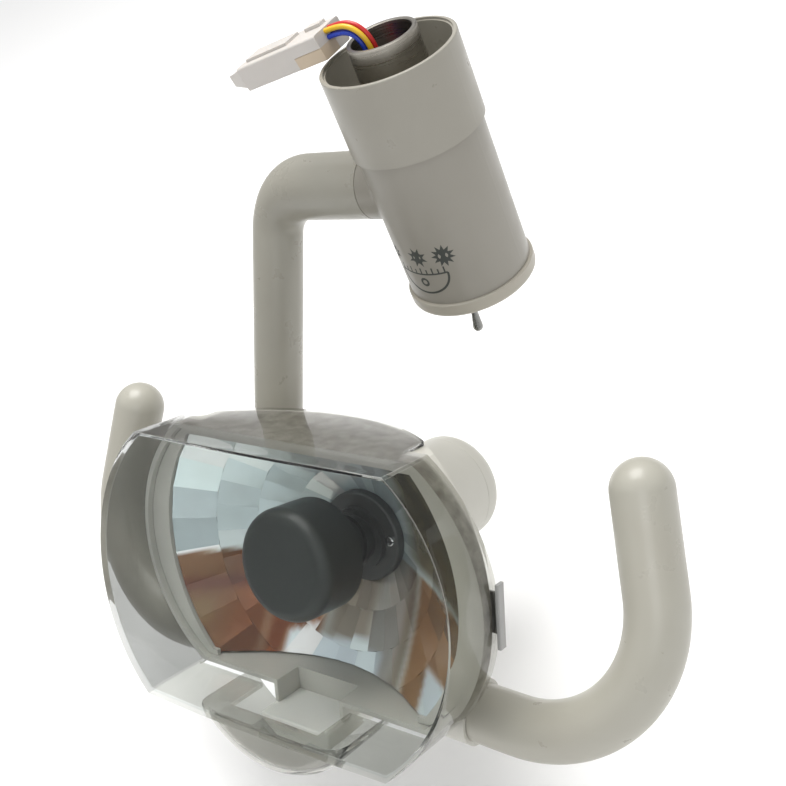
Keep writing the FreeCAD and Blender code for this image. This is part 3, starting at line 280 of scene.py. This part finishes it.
NODE_MATERIALS = {
    "housing": ["joint_housing", "tilt_washers"],
    "collar": ["joint_collar"],
    "cap": ["bottom_cap"],
    "arm": ["arm_tube"],
    "rest": ["shield_rest"],
    "shell": ["rear_housing", "reflector_bezel", "rear_hub", "hub_cap"],
    "handle": ["handle_left", "handle_right", "handle_end_left", "handle_end_right"],
    "steel": ["steel_tube", "tilt_shaft", "nod_shaft"],
    "spring": ["swivel_stop_pin", "swivel_circlip", "tilt_spring_washer", "nod_spring_washer",
               "tilt_stop_pin"],
    "clip": ["clip_left", "clip_right"],
    "zinc": ["cap_screws", "rest_screws", "handle_screws", "tilt_nut", "nod_nut", "swivel_washer"],
    "nickel": ["toggle_lever", "switch_nut"],
    "chrome": ["lamp_base_screws"],
    "bronze": ["tilt_bush", "nod_bush"],
    "acetal": ["swivel_bush", "nod_washers"],
    "black": ["glare_cap", "lamp_stem"],
    "grey": ["lamp_base"],
    "ceramic": ["lamp_socket", "terminal_block"],
    "quartz": ["halogen_bulb"],
    "rubber": ["cable_grommet"],
    "sheath": ["arm_cable", "lamp_leads"],
    "board": ["dimmer_board"],
    "phenolic": ["switch_body"],
    "beige": ["connector_plug"],
    "nylon": ["connector_housing", "connector_boot"],
    "clear": ["clear_shield"],
    "mirror": ["reflector"],
    "red": ["lead_red"],
    "yellow": ["lead_yellow"],
    "blue": ["lead_blue"],
    "dark_blue": ["lead_dark_blue"],
}
for key, names in NODE_MATERIALS.items():
    for name in names:
        mesh = nodes[name].data
        mesh.materials.clear()
        mesh.materials.append(M[key])


# ------------------------------------------------------------------ mesh helpers
def piece(name, bm, place, material, body, smooth=True):
    """Turns a bmesh in millimetres into a riding piece in the part frame."""
    bmesh.ops.recalc_face_normals(bm, faces=bm.faces)
    mesh = bpy.data.meshes.new(name)
    bm.to_mesh(mesh)
    bm.free()
    mesh.transform(place)
    for poly in mesh.polygons:
        poly.use_smooth = smooth
    mesh.materials.append(M[material])
    obj = bpy.data.objects.new(name, mesh)
    scene.collection.objects.link(obj)
    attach(obj, body)
    return obj


def modifier(obj, kind, **settings):
    mod = obj.modifiers.new(kind.lower(), kind)
    for key, value in settings.items():
        setattr(mod, key, value)
    return mod


def strip(bm, rows, closed=False):
    """Quads between rows of points. Rows have equal lengths."""
    made = [[bm.verts.new(p) for p in row] for row in rows]
    for low, high in zip(made, made[1:]):
        count = len(low)
        for i in range(count if closed else count - 1):
            j = (i + 1) % count
            bm.faces.new((low[i], low[j], high[j], high[i]))
    return made


# ------------------------------------------------------------------ clear shield
TOP, BOTTOM = 64.7, -61.0
CORNER, MIDDLE = 70.0, 100.5
FRONT_TOP, FRONT_BOTTOM, BULGE = -27.0, -38.5, 3.0
VISOR_HALF, OPENING_HALF = 58.3, 26.0
STEP = 0.2                    # width of a step in the outline
RIM_Y = 2.0
DISH_R, DISH_CENTRE_Y = 118.6, -66.0
SHELF_BACK, OPENING_FRONT = -8.0, -29.5
PAN_R, PAN_FRONT, PAN_DEPTH, PAN_ROUND = 52.0, -37.5, 23.0, 10.0


def side_x(z):
    """Half width of the head's outline at a height."""
    half = (TOP - BOTTOM) / 2
    sag = MIDDLE - CORNER
    radius = (half * half + sag * sag) / (2 * sag)
    rise = z - (TOP + BOTTOM) / 2
    return MIDDLE - radius + math.sqrt(radius * radius - rise * rise)


def front_y(x, z):
    """Depth of the leaning, slightly bowed front."""
    share = (z - BOTTOM) / (TOP - BOTTOM)
    plane = FRONT_BOTTOM + (FRONT_TOP - FRONT_BOTTOM) * share
    return plane - BULGE * (1 - (x / MIDDLE) ** 2)


def dish_y(x, z):
    """Depth of the dished housing that the shield's top panel reaches over."""
    return DISH_CENTRE_Y + math.sqrt(max(DISH_R * DISH_R - x * x - (z - AXIS_Z) ** 2, 0.0))


def outline():
    """The shield's outline as (x, z, y at the rear rim), with steps as double points."""
    points = []
    count = 28
    points += [(-CORNER, TOP, RIM_Y), (-64.0, TOP, RIM_Y), (-VISOR_HALF - STEP, TOP, RIM_Y)]
    for i in range(count + 1):
        x = -VISOR_HALF + 2 * VISOR_HALF * i / count
        points.append((x, TOP, dish_y(x, TOP)))
    points += [(VISOR_HALF + STEP, TOP, RIM_Y), (64.0, TOP, RIM_Y), (CORNER, TOP, RIM_Y)]
    for i in range(1, 33):
        z = TOP + (BOTTOM - TOP) * i / 32
        points.append((side_x(z), z, RIM_Y))
    floor = [(x, SHELF_BACK) for x in (68.0, 56.0, 40.0, OPENING_HALF + STEP)]
    floor += [(x, OPENING_FRONT) for x in (OPENING_HALF - STEP, OPENING_HALF / 2, 0.0)]
    for x, y in floor:
        points.append((x, BOTTOM, y))
    for x, y in reversed(floor[:-1]):
        points.append((-x, BOTTOM, y))
    for i in range(32):
        z = BOTTOM + (TOP - BOTTOM) * i / 32
        points.append((-side_x(z), z, RIM_Y))
    return points


# Painted shade of the shield's walls: the left side darkest, the top, shelf, right side and pan lighter, the
# front nearly clear.
LEFT_WALL_SHADE, RIGHT_WALL_SHADE, TOP_WALL_SHADE = (0.66, 0.66, 0.65), (0.84, 0.84, 0.82), (0.84, 0.84, 0.83)
SHELF_WALL_SHADE, PAN_WALL_SHADE, FRONT_CLEAR = (0.84, 0.84, 0.82), (0.8, 0.8, 0.78), (0.97, 0.98, 0.98)


def paint_wall_shade(bm):
    """Painted shade on each wall, by the way it faces."""
    layer = bm.loops.layers.color.new("wall")
    for face in bm.faces:
        centre, normal = face.calc_center_median(), face.normal
        if abs(normal.y) > 0.7:
            tone = FRONT_CLEAR
        elif centre.z > TOP - 1:
            tone = TOP_WALL_SHADE
        elif centre.z < BOTTOM + 1:
            tone = SHELF_WALL_SHADE
        else:
            tone = LEFT_WALL_SHADE if centre.x < 0 else RIGHT_WALL_SHADE
        for loop in face.loops:
            loop[layer] = (*tone, 1)


def build_shield():
    rim = outline()
    centre = Vector((0, 0, (TOP + BOTTOM) / 2))
    bm = bmesh.new()
    rows = [[Vector((x, y, z)) for x, z, y in rim]]
    for share in (0.5, 0.9):
        rows.append([Vector((x, y + (front_y(x, z) - y) * share, z)) for x, z, y in rim])
    for shrink in (1.0, 0.985, 0.9, 0.75, 0.5, 0.25):
        row = []
        for x, z, _ in rim:
            px, pz = x * shrink, centre.z + (z - centre.z) * shrink
            row.append(Vector((px, front_y(px, pz), pz)))
        rows.append(row)
    made = strip(bm, rows, closed=True)
    bm.faces.new(made[-1])
    bmesh.ops.remove_doubles(bm, verts=bm.verts, dist=0.01)
    bmesh.ops.triangulate(bm, faces=[f for f in bm.faces if len(f.verts) > 4])
    bm.normal_update()
    paint_wall_shade(bm)
    shell = piece("shield_moulding", bm, HEAD_MM, "clear", "shield")
    # The bevelled edges take the painted edge highlight.
    shell.data.materials.append(M["edge"])
    modifier(shell, "SOLIDIFY", thickness=0.0022, offset=-1.0, use_even_offset=True)
    modifier(shell, "BEVEL", width=0.0008, segments=3, limit_method="ANGLE",
             angle_limit=math.radians(40), material=1)
    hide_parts("clear_shield")


def build_pan():
    """The round pan below the shield, open at the back."""
    bm = bmesh.new()
    middle_z = BOTTOM - PAN_DEPTH + PAN_R
    curve_start = PAN_FRONT + PAN_ROUND
    stations = [(RIM_Y, 0.0), (-8.0, 0.0), (-18.0, 0.0), (curve_start, 0.0)]
    for t in (math.pi / 8, math.pi / 4, 3 * math.pi / 8):
        stations.append((curve_start - PAN_ROUND * math.sin(t), PAN_ROUND * (1 - math.cos(t))))
    stations += [(PAN_FRONT, 10.0), (PAN_FRONT, 16.0), (PAN_FRONT, 22.0), (PAN_FRONT, 28.9)]
    rows = []
    for y, inset in stations:
        r = PAN_R - inset
        reach = math.acos(min((middle_z - BOTTOM) / r, 1.0))
        row = []
        for i in range(33):
            a = -reach + 2 * reach * i / 32
            row.append(Vector((r * math.sin(a), y, middle_z - r * math.cos(a))))
        rows.append(row)
    strip(bm, rows)
    # The pan's walls all take the same painted shade.
    layer = bm.loops.layers.color.new("wall")
    for face in bm.faces:
        for loop in face.loops:
            loop[layer] = (*PAN_WALL_SHADE, 1)
    pan = piece("shield_pan", bm, HEAD_MM, "clear", "shield")
    modifier(pan, "SOLIDIFY", thickness=0.0022, offset=-1.0, use_even_offset=True)
    # The bevelled edges take the painted edge highlight.
    pan.data.materials.append(M["edge"])
    modifier(pan, "BEVEL", width=0.0006, segments=2, limit_method="ANGLE",
             angle_limit=math.radians(40), material=1)


build_shield()
build_pan()


# ------------------------------------------------------------------ faceted mirror
MIRROR_TOP, MIRROR_FOOT = 58.5, -55.0
MIRROR_ARC = ((21.0, 46.0), (57.0, 22.0), (84.0, -1.0))     # radius and depth


def mirror_profile(rho):
    """Depth of the mirror at a radius, an arc through three points."""
    (x1, y1), (x2, y2), (x3, y3) = MIRROR_ARC
    d = 2 * (x1 * (y2 - y3) + x2 * (y3 - y1) + x3 * (y1 - y2))
    s1, s2, s3 = x1 * x1 + y1 * y1, x2 * x2 + y2 * y2, x3 * x3 + y3 * y3
    cx = (s1 * (y2 - y3) + s2 * (y3 - y1) + s3 * (y1 - y2)) / d
    cy = (s1 * (x3 - x2) + s2 * (x1 - x3) + s3 * (x2 - x1)) / d
    radius = math.hypot(x1 - cx, y1 - cy)
    return cy + math.sqrt(radius * radius - (rho - cx) ** 2) * (1 if y1 > cy else -1)


def fade(value, start, end):
    share = min(max((value - start) / (end - start), 0.0), 1.0)
    return share * share * (3 - 2 * share)


# Painted reflection tones for the mirror's facets: what the mirror shows of its surroundings, laid on as
# colour.
PALE, OCHRE, BROWN, DUSK = (0.86, 0.92, 0.93), (0.4, 0.28, 0.17), (0.46, 0.24, 0.1), (0.6, 0.56, 0.5)
SKY, OLIVE, UMBER = (0.92, 0.97, 1.0), (0.48, 0.45, 0.36), (0.62, 0.48, 0.34)


def painted_reflection(x, z, facet):
    """Painted reflection on the mirror: pale above, brown low on the left, bright at the foot."""
    def over(tone, other, share):
        return tuple(a + (b - a) * share for a, b in zip(tone, other))

    tone = PALE
    tone = over(tone, OLIVE, fade(x, 20, 42) * fade(z, -8, 0))
    lower = 1 - fade(z, -8.5, -6.5)
    side = over(OCHRE, BROWN, fade(x, -70, -52) * 0.7)
    side = over(side, (0.3, 0.12, 0.07), 0.6 * (fade(z, -28, -25) - fade(z, -22, -19)))
    corner = (fade(z, -43, -40) - fade(z, -32, -30)) * (1 - fade(x, -70, -66))
    side = over(side, (0.42, 0.33, 0.2), 0.8 * corner)
    tone = over(tone, side, lower * (1 - fade(x, -48, -40)))
    tone = over(tone, BROWN, lower * fade(x, -48, -40) * (1 - fade(x, -22, -14)))
    tone = over(tone, DUSK, lower * fade(x, -22, -10) * (1 - fade(x, 34, 40)))
    tone = over(tone, (0.8, 0.8, 0.78), lower * fade(x, 4, 12) * (1 - fade(x, 26, 34)) * 0.75)
    tone = over(tone, UMBER, lower * fade(x, 36, 42))
    foot = 1 - fade(z, -50 + 6 * facet, -46 + 6 * facet)
    tone = over(tone, SKY, foot * fade(x, -36, -31) * (1 - fade(x, 18, 24)))
    tone = over(tone, SKY, (1 - fade(z, -40, -36)) * fade(x, 53, 57))
    # Each facet's painted reflection is made brighter or darker at random.
    gain = 0.86 + 0.3 * facet
    return tuple(min(c * gain, 1.0) for c in tone)


def build_mirror():
    bm = bmesh.new()
    layer = bm.loops.layers.color.new("painted_reflection")
    rings = [21.0, 36.0, 52.0, 68.0, 84.0]
    sectors = 30
    steps = 7
    for k, (r0, r1) in enumerate(zip(rings, rings[1:])):
        for s in range(sectors):
            a0 = 2 * math.pi * (s + 0.5 * (k % 2)) / sectors
            a1 = a0 + 2 * math.pi / sectors
            facet = random.random()
            tilt = random.uniform(-0.25, 0.25)
            corners = [
                Vector((r * math.cos(a), mirror_profile(r), r * math.sin(a)))
                for r, a in ((r0, a0), (r0, a1), (r1, a0), (r1, a1))
            ]
            grid = []
            for i in range(steps + 1):
                low = corners[0].lerp(corners[2], i / steps)
                high = corners[1].lerp(corners[3], i / steps)
                row = []
                for j in range(steps + 1):
                    p = low.lerp(high, j / steps)
                    edge = min(i, steps - i, j, steps - j) / steps
                    lift = tilt * min(edge * 4, 1.0) * (j / steps - 0.5)
                    row.append(bm.verts.new((p.x, p.y + lift, p.z + AXIS_Z)))
                grid.append(row)
            for i in range(steps):
                for j in range(steps):
                    corner_verts = (grid[i][j], grid[i + 1][j], grid[i + 1][j + 1], grid[i][j + 1])
                    face = bm.faces.new(corner_verts)
                    for loop in face.loops:
                        loop[layer] = (*painted_reflection(loop.vert.co.x, loop.vert.co.z, facet), 1)
    for z, up in ((MIRROR_TOP, 1), (MIRROR_FOOT, -1)):
        geom = bm.verts[:] + bm.edges[:] + bm.faces[:]
        bmesh.ops.bisect_plane(bm, geom=geom, plane_co=(0, 0, z), plane_no=(0, 0, up), clear_outer=True)
    bmesh.ops.recalc_face_normals(bm, faces=bm.faces)
    mirror = piece("mirror_facets", bm, HEAD_MM, "mirror", "head", smooth=False)
    modifier(mirror, "SOLIDIFY", thickness=0.0014, offset=1.0)
    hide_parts("reflector")


build_mirror()


# ------------------------------------------------------------------ free leads
LEAD_R = 1.1
SLOPE = math.radians(11.5)
FACE = Vector((-23.25, -2.0, 4.5))
WAY = Vector((-math.cos(SLOPE), 0, -math.sin(SLOPE)))
ROUTE = [
    Vector((-5.5, -2.0, -18.0)),
    Vector((-5.5, -2.0, -9.8)),
    Vector((-5.8, -2.0, -2.7)),
    Vector((-7.8, -2.0, 2.1)),
    Vector((-12.06, -2.0, 5.3)),
    FACE - WAY * 5.3,
    FACE,
]
LEADS = {
    "red": (1.4, 1.35),
    "yellow": (-1.4, 1.35),
    "blue": (-1.4, -1.35),
    "dark_blue": (1.4, -1.35),
}


def lead_points(across, outwards):
    runs = [(b - a).normalized() for a, b in zip(ROUTE, ROUTE[1:])]
    points = []
    for i, middle in enumerate(ROUTE):
        before, after = runs[max(i - 1, 0)], runs[min(i, len(runs) - 1)]
        along = (before + after).normalized()
        half_turn = before.angle(after) / 2
        normal = Vector((along.z, 0, -along.x)) / math.cos(half_turn)
        points.append(middle + Vector((0, 1, 0)) * across + normal * outwards)
    return points


def build_leads():
    for colour, offset in LEADS.items():
        points = [p * 0.001 for p in lead_points(*offset)]
        curve = bpy.data.curves.new("cord_" + colour, "CURVE")
        curve.dimensions = "3D"
        spline = curve.splines.new("NURBS")
        spline.points.add(len(points) - 1)
        for target, p in zip(spline.points, points):
            target.co = (*p, 1)
        spline.order_u = 3
        spline.use_endpoint_u = True
        spline.resolution_u = 12
        curve.bevel_depth = LEAD_R * 0.001
        curve.bevel_resolution = 6
        curve.use_fill_caps = True
        curve.materials.append(M[colour])
        obj = bpy.data.objects.new("cord_" + colour, curve)
        scene.collection.objects.link(obj)
        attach(obj, "socket")
        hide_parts("lead_" + colour)


build_leads()


# ------------------------------------------------------------------ printed symbols on the housing
HOUSING_R = 28.0
INK_THICKNESS = 0.03


def wrap(bm, angle, z):
    """Lays a flat drawing (x to the right, y up, in millimetres) round the housing."""
    for v in bm.verts:
        a = math.radians(angle) + v.co.x / HOUSING_R
        r = HOUSING_R + INK_THICKNESS
        v.co = Vector((r * math.cos(a), r * math.sin(a), z + v.co.y))


def fan(bm, points):
    verts = [bm.verts.new((x, y, 0)) for x, y in points]
    return bm.faces.new(verts)


def stroke(bm, points, width):
    """A drawn line of even width."""
    left, right = [], []
    for i, (x, y) in enumerate(points):
        x0, y0 = points[max(i - 1, 0)]
        x1, y1 = points[min(i + 1, len(points) - 1)]
        length = math.hypot(x1 - x0, y1 - y0) or 1.0
        nx, ny = -(y1 - y0) / length * width / 2, (x1 - x0) / length * width / 2
        left.append(bm.verts.new((x + nx, y + ny, 0)))
        right.append(bm.verts.new((x - nx, y - ny, 0)))
    for i in range(len(points) - 1):
        bm.faces.new((left[i], left[i + 1], right[i + 1], right[i]))


def sun(bm, radius, ray, rays=8, hole=0.0):
    """A small sun: a disc or ring with short pointed rays."""
    count = 32
    turns = [2 * math.pi * i / count for i in range(count + 1)]
    circle = [(radius * math.cos(a), radius * math.sin(a)) for a in turns]
    if hole:
        inner = [(x * hole, y * hole) for x, y in circle]
        for i in range(count):
            fan(bm, [inner[i], inner[i + 1], circle[i + 1], circle[i]])
    else:
        for i in range(count):
            fan(bm, [(0, 0), circle[i], circle[i + 1]])
    for k in range(rays):
        a = 2 * math.pi * (k + 0.5) / rays
        w = 0.26
        fan(bm, [
            ((radius - 0.05) * math.cos(a - w), (radius - 0.05) * math.sin(a - w)),
            ((radius - 0.05) * math.cos(a + w), (radius - 0.05) * math.sin(a + w)),
            ((radius + ray) * math.cos(a), (radius + ray) * math.sin(a)),
        ])


SUNS = (                      # name, disc, ray, rays, hole, angle and height on the housing
    ("print_low", 2.3, 1.8, 8, 0.6, -127.0, -89.2),
    ("print_middle", 3.0, 2.2, 8, 0.0, -95.4, -88.8),
    ("print_high", 3.3, 2.2, 11, 0.0, -69.3, -88.8),
)
SCALE_HALF = math.radians(26.7) * HOUSING_R
SCALE_MARKS = 9


def scale_drawing():
    """Half-round dial with marks along its level edge and a ring in the middle."""
    bm = bmesh.new()
    half = SCALE_HALF
    level = [(-half + 2 * half * i / 40, -0.6 * (1 - (2 * i / 40 - 1) ** 2)) for i in range(41)]
    stroke(bm, level, 0.8)
    for k in range(SCALE_MARKS):
        x = -half + 1.2 + (2 * half - 2.4) * k / (SCALE_MARKS - 1)
        y = -0.6 * (1 - (x / half) ** 2)
        tall = 3.2 if k % 2 == 0 else 2.4
        stroke(bm, [(x, y), (x, y + tall)], 0.75)
    turns = [math.pi * i / 48 for i in range(49)]
    stroke(bm, [(half * math.cos(a), -10.45 * abs(math.sin(a)) ** 0.9) for a in turns], 1.0)
    turns = [2 * math.pi * i / 24 for i in range(25)]
    stroke(bm, [(1.7 * math.cos(a), -4.8 + 1.7 * math.sin(a)) for a in turns], 1.1)
    wrap(bm, -97.3, -97.0)
    return bm


def build_symbols():
    drawings = []
    for name, disc, ray, rays, hole, angle, height in SUNS:
        bm = bmesh.new()
        sun(bm, disc, ray, rays, hole)
        wrap(bm, angle, height)
        drawings.append((name, bm))
    drawings.append(("print_scale", scale_drawing()))
    for name, bm in drawings:
        obj = piece(name, bm, PART_MM, "ink", "housing", smooth=False)
        obj.visible_shadow = False


build_symbols()


# ------------------------------------------------------------------ floor, light and camera
FLOOR_Z = -0.32
LENS_MM, SENSOR_MM = 52.786, 36.0
CAMERA_PLACE = Vector((327.66, -350.66, 208.72))            # in the head's frame, like the two below
CAMERA_RIGHT = Vector((0.8001, 0.5961, -0.0665))
CAMERA_DOWN = Vector((0.1045, -0.2478, -0.9632))


def build_stage():
    bm = bmesh.new()
    bmesh.ops.create_grid(bm, x_segments=8, y_segments=8, size=4.0)
    mesh = bpy.data.meshes.new("floor")
    bm.to_mesh(mesh)
    bm.free()
    floor = bpy.data.objects.new("floor", mesh)
    floor.location = (0, 0, FLOOR_Z)
    mat, tree, shader = new_material("pale_floor")
    vector = coordinates(tree)
    tone = mixed(tree, noise(tree, vector, 3.0), (0.94, 0.94, 0.94, 1), (0.96, 0.96, 0.96, 1))
    link(tree, tone, shader.inputs["Base Color"])
    shader.inputs["Roughness"].default_value = 0.9
    shader.inputs["Specular IOR Level"].default_value = 0.1
    mesh.materials.append(mat)
    scene.collection.objects.link(floor)

    world = bpy.data.worlds.new("studio")
    world.use_nodes = True
    tree = world.node_tree
    coord = tree.nodes.new("ShaderNodeTexCoord")
    split = tree.nodes.new("ShaderNodeSeparateXYZ")
    link(tree, coord.outputs["Generated"], split.inputs["Vector"])
    sky = [(0.0, (0.42, 0.42, 0.42)), (0.25, (0.44, 0.44, 0.445)), (0.6, (0.8, 0.8, 0.8)), (1.0, (1, 1, 1))]
    dome = ramp(tree, split.outputs["Z"], sky)
    link(tree, dome, tree.nodes["Background"].inputs["Color"])
    tree.nodes["Background"].inputs["Strength"].default_value = 1.0
    scene.world = world
    scene.view_settings.view_transform = "Standard"

    def area(name, place, target, size, power, colour=(1, 1, 1)):
        data = bpy.data.lights.new(name, "AREA")
        data.size = size
        data.energy = power
        data.color = colour
        lamp = bpy.data.objects.new(name, data)
        lamp.location = place
        lamp.rotation_euler = (Vector(target) - Vector(place)).to_track_quat("-Z", "Y").to_euler()
        scene.collection.objects.link(lamp)

    target = (-0.04, -0.08, -0.15)
    area("overhead", (-0.2, 0.25, 1.3), target, 1.0, 24.0, (1.0, 0.99, 0.97))
    area("front", (0.7, -1.2, 0.5), target, 0.7, 3.0, (0.97, 0.98, 1.0))


def build_camera():
    data = bpy.data.cameras.new("camera")
    data.sensor_width = SENSOR_MM
    data.lens = LENS_MM
    camera = bpy.data.objects.new("camera", data)
    right = CAMERA_RIGHT.normalized()
    down = CAMERA_DOWN.normalized()
    forward = right.cross(-down).normalized() * -1
    rotation = HEAD.to_3x3() @ Matrix((right, -down, -forward)).transposed()
    camera.matrix_world = Matrix.Translation(HEAD_MM @ CAMERA_PLACE) @ rotation.to_4x4()
    data.clip_start = 0.01
    data.clip_end = 50
    scene.collection.objects.link(camera)
    scene.camera = camera


build_stage()
build_camera()
